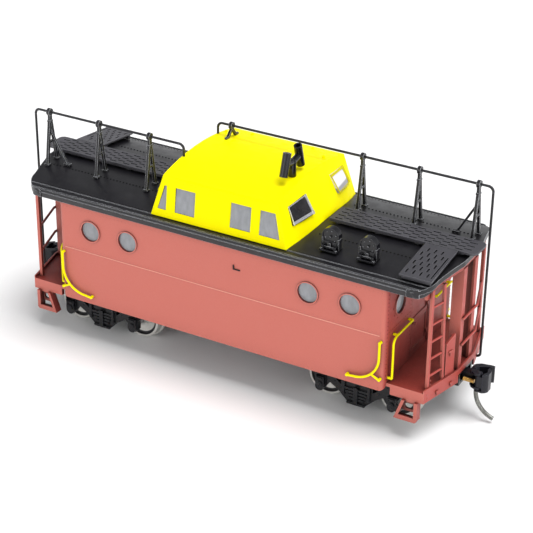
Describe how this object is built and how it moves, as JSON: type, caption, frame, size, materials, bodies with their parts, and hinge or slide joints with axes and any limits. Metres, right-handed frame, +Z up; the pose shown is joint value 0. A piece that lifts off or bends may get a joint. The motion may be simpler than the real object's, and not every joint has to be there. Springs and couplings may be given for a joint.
{
  "type": "model railway caboose",
  "caption": "Model caboose: porthole-window body with centre cupola, roof antenna rails, end platforms, swivel trucks with free wheelsets and swinging knuckle couplers.",
  "frame": {"origin": "on the track plane (lowest points of the wheel flanges), under the middle of the car", "axes": "+X along the car towards end a, +Y across the car, +Z up"},
  "size_m": [0.123, 0.0366, 0.0556],
  "materials": {
    "red_body": "matt paint on moulded plastic",
    "black_roof": "satin",
    "black_plastic": "satin",
    "yellow_shell": "matt paint on moulded plastic",
    "yellow_wire": "satin",
    "glazing": "clear, grey tint",
    "ballast": "plain",
    "screw_steel": "zinc plated",
    "wheel_metal": "blackened with a bright tread",
    "axle_metal": "plain",
    "coupler_metal": "blackened",
    "pin_steel": "bright",
    "spring_bronze": "bright"
  },
  "bodies": {
    "car": {"body_shell": "red_body", "underframe": "red_body", "centre_frame": "black_plastic", "brake_gear": "black_plastic", "ballast_weight": "ballast", "roof": "black_roof", "end_arch_a": "red_body", "end_arch_b": "red_body", "door_a": "red_body", "door_b": "red_body", "side_glazing": "glazing", "end_glazing": "glazing", "cupola_shell": "yellow_shell", "cupola_side_panes": "glazing", "cupola_end_panes": "glazing", "running_board_a": "black_roof", "running_board_b": "black_roof", "lateral_board_a": "black_roof", "lateral_board_b": "black_roof", "smoke_jack": "black_roof", "roof_drums": "black_roof", "antenna_rail_a": "black_roof", "antenna_rail_b": "black_roof", "antenna_posts_a": "black_roof", "antenna_posts_b": "black_roof", "ladder_a": "red_body", "ladder_b": "red_body", "end_posts_a": "red_body", "end_posts_b": "red_body", "end_railing_a": "red_body", "end_railing_b": "red_body", "gate_plate_a": "red_body", "gate_plate_b": "red_body", "steps_a": "red_body", "steps_b": "red_body", "side_grabs": "yellow_wire", "end_grabs_a": "yellow_wire", "end_grabs_b": "yellow_wire", "truck_screws": "screw_steel", "coupler_box_a": "black_plastic", "coupler_box_b": "black_plastic", "coupler_screws": "screw_steel"},
    "truck_a": {"truck_frame_a": "black_plastic"},
    "wheelset_a1": {"wheels_a1": "wheel_metal", "axle_a1": "axle_metal"},
    "wheelset_a2": {"wheels_a2": "wheel_metal", "axle_a2": "axle_metal"},
    "coupler_a": {"coupler_head_a": "coupler_metal", "knuckle_spring_a": "spring_bronze"},
    "knuckle_a": {"knuckle_a": "coupler_metal", "trip_pin_a": "pin_steel"},
    "truck_b": {"truck_frame_b": "black_plastic"},
    "wheelset_b1": {"wheels_b1": "wheel_metal", "axle_b1": "axle_metal"},
    "wheelset_b2": {"wheels_b2": "wheel_metal", "axle_b2": "axle_metal"},
    "coupler_b": {"coupler_head_b": "coupler_metal", "knuckle_spring_b": "spring_bronze"},
    "knuckle_b": {"knuckle_b": "coupler_metal", "trip_pin_b": "pin_steel"}
  },
  "joints": [
    {"name": "truck_a_swivel", "type": "hinge", "parent": "car", "child": "truck_a", "pos_m": [0.0337, 0, 0.0075], "axis": [0, 0, 1], "range_deg": [-8, 8]},
    {"name": "wheelset_a1_spin", "type": "hinge", "parent": "truck_a", "child": "wheelset_a1", "pos_m": [0.0425, 0, 0.0053], "axis": [0, 1, 0], "continuous": true},
    {"name": "wheelset_a2_spin", "type": "hinge", "parent": "truck_a", "child": "wheelset_a2", "pos_m": [0.0249, 0, 0.0053], "axis": [0, 1, 0], "continuous": true},
    {"name": "coupler_a_swing", "type": "hinge", "parent": "car", "child": "coupler_a", "pos_m": [0.0485, 0, 0.00975], "axis": [0, 0, 1], "range_deg": [-8, 8], "stiffness_Nm_per_rad": 0.001},
    {"name": "knuckle_a_open", "type": "hinge", "parent": "coupler_a", "child": "knuckle_a", "pos_m": [0.0573, -0.0016, 0.00975], "axis": [0, 0, 1], "range_deg": [-25, 0], "stiffness_Nm_per_rad": 0.0004},
    {"name": "truck_b_swivel", "type": "hinge", "parent": "car", "child": "truck_b", "pos_m": [-0.0337, 0, 0.0075], "axis": [0, 0, 1], "range_deg": [-8, 8]},
    {"name": "wheelset_b1_spin", "type": "hinge", "parent": "truck_b", "child": "wheelset_b1", "pos_m": [-0.0425, 0, 0.0053], "axis": [0, 1, 0], "continuous": true},
    {"name": "wheelset_b2_spin", "type": "hinge", "parent": "truck_b", "child": "wheelset_b2", "pos_m": [-0.0249, 0, 0.0053], "axis": [0, 1, 0], "continuous": true},
    {"name": "coupler_b_swing", "type": "hinge", "parent": "car", "child": "coupler_b", "pos_m": [-0.0485, 0, 0.00975], "axis": [0, 0, 1], "range_deg": [-8, 8], "stiffness_Nm_per_rad": 0.001},
    {"name": "knuckle_b_open", "type": "hinge", "parent": "coupler_b", "child": "knuckle_b", "pos_m": [-0.0573, 0.0016, 0.00975], "axis": [0, 0, 1], "range_deg": [-25, 0], "stiffness_Nm_per_rad": 0.0004}
  ]
}
